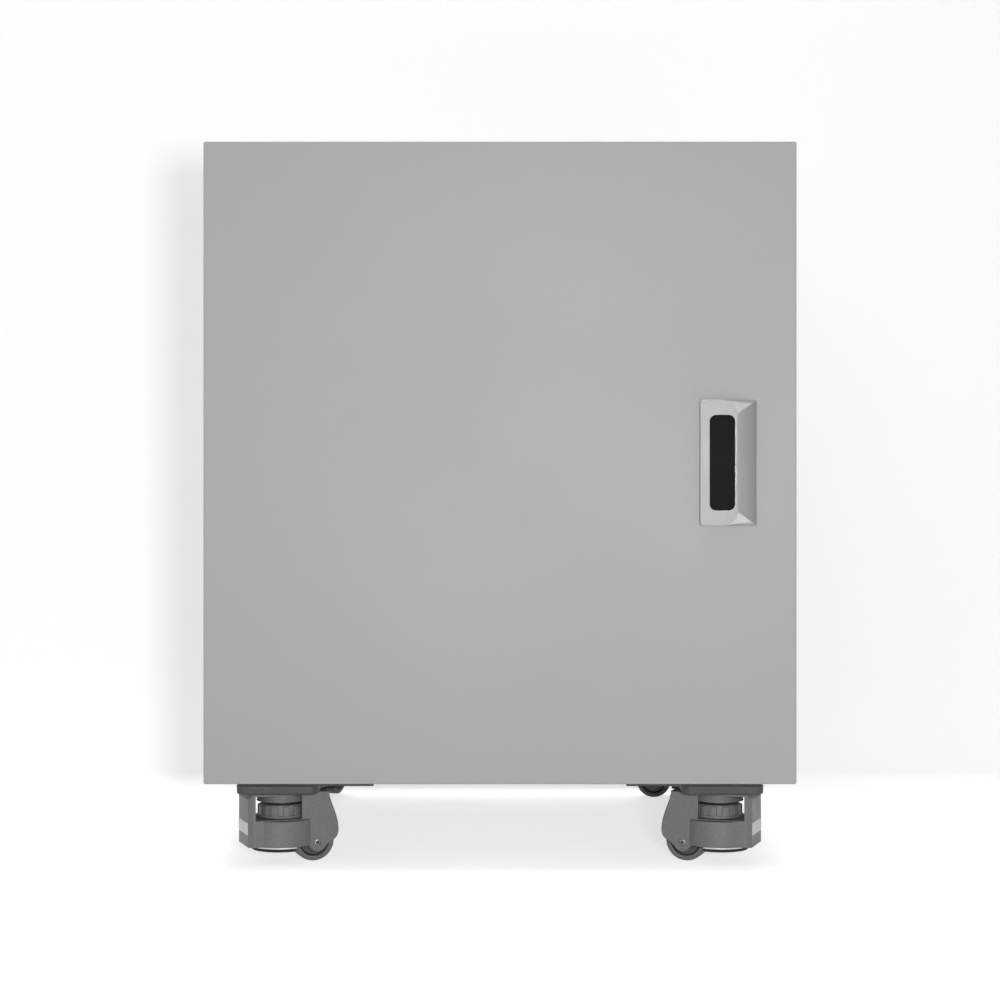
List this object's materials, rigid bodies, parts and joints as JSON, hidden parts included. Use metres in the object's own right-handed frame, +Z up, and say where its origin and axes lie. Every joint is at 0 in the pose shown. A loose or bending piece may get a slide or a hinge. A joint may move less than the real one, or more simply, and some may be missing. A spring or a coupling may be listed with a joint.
{
  "type": "battery cabinet",
  "caption": "Sheet-metal rack cabinet for stacked battery modules, with a hinged latching front door and levelling casters.",
  "frame": {"origin": "on the floor, under the middle of the cabinet's outline", "axes": "+Z up, the door faces -Y, the latch is towards +X"},
  "size_m": [0.6, 0.613, 0.74],
  "materials": {
    "cabinet_paint": "fine powder coat",
    "zinc_steel": "zinc plated",
    "stud_brass": "satin",
    "die_cast": "satin lacquer",
    "black_plastic": "fine moulded grain",
    "lever_plastic": "moulded",
    "foam_rubber": "closed-cell foam",
    "grommet_rubber": "matt",
    "module_paint": "textured powder coat",
    "cell_can": "film wrapped",
    "handle_metal": "brushed, anodised",
    "terminal_plastic": "moulded",
    "copper": "bare drawn copper",
    "epoxy": "moulded epoxy",
    "caster_cast": "cast, grained paint",
    "thumbwheel_nylon": "moulded",
    "wheel_nylon": "moulded",
    "pad_rubber": "matt"
  },
  "bodies": {
    "cabinet": {"base_pan": "cabinet_paint", "top_cover": "cabinet_paint", "side_panel_left": "cabinet_paint", "side_panel_right": "cabinet_paint", "front_frame": "cabinet_paint", "rear_panel": "cabinet_paint", "gland_plate": "cabinet_paint", "panel_screws": "zinc_steel", "cable_grommets": "grommet_rubber", "ground_stud": "stud_brass", "caster_rails": "zinc_steel", "caster_plates": "caster_cast", "caster_bolts": "zinc_steel", "rack_rails_front": "zinc_steel", "rack_rails_rear": "zinc_steel", "module_runners": "zinc_steel", "module_cases": "module_paint", "battery_cells": "cell_can", "module_fascias": "module_paint", "module_handles": "handle_metal", "module_terminals": "terminal_plastic", "breaker_bodies": "black_plastic", "busbars": "copper", "busbar_insulators": "epoxy", "hinge_brackets": "zinc_steel"},
    "door": {"door_panel": "cabinet_paint", "door_stiffeners": "cabinet_paint", "door_gasket": "foam_rubber", "hinge_leaves": "zinc_steel", "latch_housing": "die_cast"},
    "latch_paddle": {"latch_paddle": "black_plastic"},
    "latch_bolt": {"latch_bolt": "zinc_steel"},
    "breaker_lever_1": {"breaker_lever_1": "lever_plastic"},
    "breaker_lever_2": {"breaker_lever_2": "lever_plastic"},
    "breaker_lever_3": {"breaker_lever_3": "lever_plastic"},
    "breaker_lever_4": {"breaker_lever_4": "lever_plastic"},
    "caster_front_left": {"caster_housing_front_left": "caster_cast", "caster_axle_front_left": "zinc_steel"},
    "caster_wheel_front_left": {"caster_wheel_front_left": "wheel_nylon"},
    "thumbwheel_front_left": {"caster_thumbwheel_front_left": "thumbwheel_nylon"},
    "leveler_front_left": {"leveler_stem_front_left": "zinc_steel", "leveler_pad_front_left": "pad_rubber"},
    "caster_front_right": {"caster_housing_front_right": "caster_cast", "caster_axle_front_right": "zinc_steel"},
    "caster_wheel_front_right": {"caster_wheel_front_right": "wheel_nylon"},
    "thumbwheel_front_right": {"caster_thumbwheel_front_right": "thumbwheel_nylon"},
    "leveler_front_right": {"leveler_stem_front_right": "zinc_steel", "leveler_pad_front_right": "pad_rubber"},
    "caster_rear_left": {"caster_housing_rear_left": "caster_cast", "caster_axle_rear_left": "zinc_steel"},
    "caster_wheel_rear_left": {"caster_wheel_rear_left": "wheel_nylon"},
    "thumbwheel_rear_left": {"caster_thumbwheel_rear_left": "thumbwheel_nylon"},
    "leveler_rear_left": {"leveler_stem_rear_left": "zinc_steel", "leveler_pad_rear_left": "pad_rubber"},
    "caster_rear_right": {"caster_housing_rear_right": "caster_cast", "caster_axle_rear_right": "zinc_steel"},
    "caster_wheel_rear_right": {"caster_wheel_rear_right": "wheel_nylon"},
    "thumbwheel_rear_right": {"caster_thumbwheel_rear_right": "thumbwheel_nylon"},
    "leveler_rear_right": {"leveler_stem_rear_right": "zinc_steel", "leveler_pad_rear_right": "pad_rubber"}
  },
  "joints": [
    {"name": "door_hinge", "type": "hinge", "parent": "cabinet", "child": "door", "pos_m": [-0.292, -0.2855, 0.415], "axis": [0, 0, -1], "range_deg": [0, 100]},
    {"name": "latch_paddle_press", "type": "hinge", "parent": "door", "child": "latch_paddle", "pos_m": [0.2136, -0.3, 0.415], "axis": [0, 0, 1], "range_deg": [0, 18.5]},
    {"name": "latch_bolt_slide", "type": "slide", "parent": "door", "child": "latch_bolt", "axis": [-1, 0, 0], "range_m": [0, 0.0115], "stiffness_N_per_m": 60, "springref_m": -0.01},
    {"name": "breaker_1", "type": "hinge", "parent": "cabinet", "child": "breaker_lever_1", "pos_m": [0.14, -0.2055, 0.21497], "axis": [1, 0, 0], "range_deg": [0, 56]},
    {"name": "breaker_2", "type": "hinge", "parent": "cabinet", "child": "breaker_lever_2", "pos_m": [0.14, -0.2055, 0.34832], "axis": [1, 0, 0], "range_deg": [0, 56]},
    {"name": "breaker_3", "type": "hinge", "parent": "cabinet", "child": "breaker_lever_3", "pos_m": [0.14, -0.2055, 0.48168], "axis": [1, 0, 0], "range_deg": [0, 56]},
    {"name": "breaker_4", "type": "hinge", "parent": "cabinet", "child": "breaker_lever_4", "pos_m": [0.14, -0.2055, 0.61503], "axis": [1, 0, 0], "range_deg": [0, 56]},
    {"name": "swivel_front_left", "type": "hinge", "parent": "cabinet", "child": "caster_front_left", "pos_m": [-0.229, -0.2235, 0.06], "axis": [0, 0, 1], "continuous": true},
    {"name": "roll_front_left", "type": "hinge", "parent": "caster_front_left", "child": "caster_wheel_front_left", "pos_m": [-0.19799, -0.21221, 0.0215], "axis": [-0.342, 0.9397, 0], "continuous": true},
    {"name": "thumbwheel_front_left", "type": "hinge", "parent": "caster_front_left", "child": "thumbwheel_front_left", "pos_m": [-0.229, -0.2235, 0.054], "axis": [0, 0, 1], "range_deg": [0, 1800]},
    {"name": "leveler_front_left", "type": "slide", "parent": "caster_front_left", "child": "leveler_front_left", "axis": [0, 0, -1], "range_m": [0, 0.015]},
    {"name": "swivel_front_right", "type": "hinge", "parent": "cabinet", "child": "caster_front_right", "pos_m": [0.229, -0.2235, 0.06], "axis": [0, 0, 1], "continuous": true},
    {"name": "roll_front_right", "type": "hinge", "parent": "caster_front_right", "child": "caster_wheel_front_right", "pos_m": [0.19799, -0.21221, 0.0215], "axis": [-0.342, -0.9397, 0], "continuous": true},
    {"name": "thumbwheel_front_right", "type": "hinge", "parent": "caster_front_right", "child": "thumbwheel_front_right", "pos_m": [0.229, -0.2235, 0.054], "axis": [0, 0, 1], "range_deg": [0, 1800]},
    {"name": "leveler_front_right", "type": "slide", "parent": "caster_front_right", "child": "leveler_front_right", "axis": [0, 0, -1], "range_m": [0, 0.015]},
    {"name": "swivel_rear_left", "type": "hinge", "parent": "cabinet", "child": "caster_rear_left", "pos_m": [-0.229, 0.2345, 0.06], "axis": [0, 0, 1], "continuous": true},
    {"name": "roll_rear_left", "type": "hinge", "parent": "caster_rear_left", "child": "caster_wheel_rear_left", "pos_m": [-0.21664, 0.2651, 0.0215], "axis": [-0.9272, 0.3746, 0], "continuous": true},
    {"name": "thumbwheel_rear_left", "type": "hinge", "parent": "caster_rear_left", "child": "thumbwheel_rear_left", "pos_m": [-0.229, 0.2345, 0.054], "axis": [0, 0, 1], "range_deg": [0, 1800]},
    {"name": "leveler_rear_left", "type": "slide", "parent": "caster_rear_left", "child": "leveler_rear_left", "axis": [0, 0, -1], "range_m": [0, 0.015]},
    {"name": "swivel_rear_right", "type": "hinge", "parent": "cabinet", "child": "caster_rear_right", "pos_m": [0.229, 0.2345, 0.06], "axis": [0, 0, 1], "continuous": true},
    {"name": "roll_rear_right", "type": "hinge", "parent": "caster_rear_right", "child": "caster_wheel_rear_right", "pos_m": [0.19632, 0.23909, 0.0215], "axis": [-0.1392, -0.9903, 0], "continuous": true},
    {"name": "thumbwheel_rear_right", "type": "hinge", "parent": "caster_rear_right", "child": "thumbwheel_rear_right", "pos_m": [0.229, 0.2345, 0.054], "axis": [0, 0, 1], "range_deg": [0, 1800]},
    {"name": "leveler_rear_right", "type": "slide", "parent": "caster_rear_right", "child": "leveler_rear_right", "axis": [0, 0, -1], "range_m": [0, 0.015]}
  ],
  "couplings": [
    {"joint": "latch_paddle_press", "follows": "latch_bolt_slide", "rad_per_m": 27.3},
    {"joint": "leveler_front_left", "follows": "thumbwheel_front_left", "m_per_rad": 0.000477},
    {"joint": "leveler_front_right", "follows": "thumbwheel_front_right", "m_per_rad": 0.000477},
    {"joint": "leveler_rear_left", "follows": "thumbwheel_rear_left", "m_per_rad": 0.000477},
    {"joint": "leveler_rear_right", "follows": "thumbwheel_rear_right", "m_per_rad": 0.000477}
  ]
}
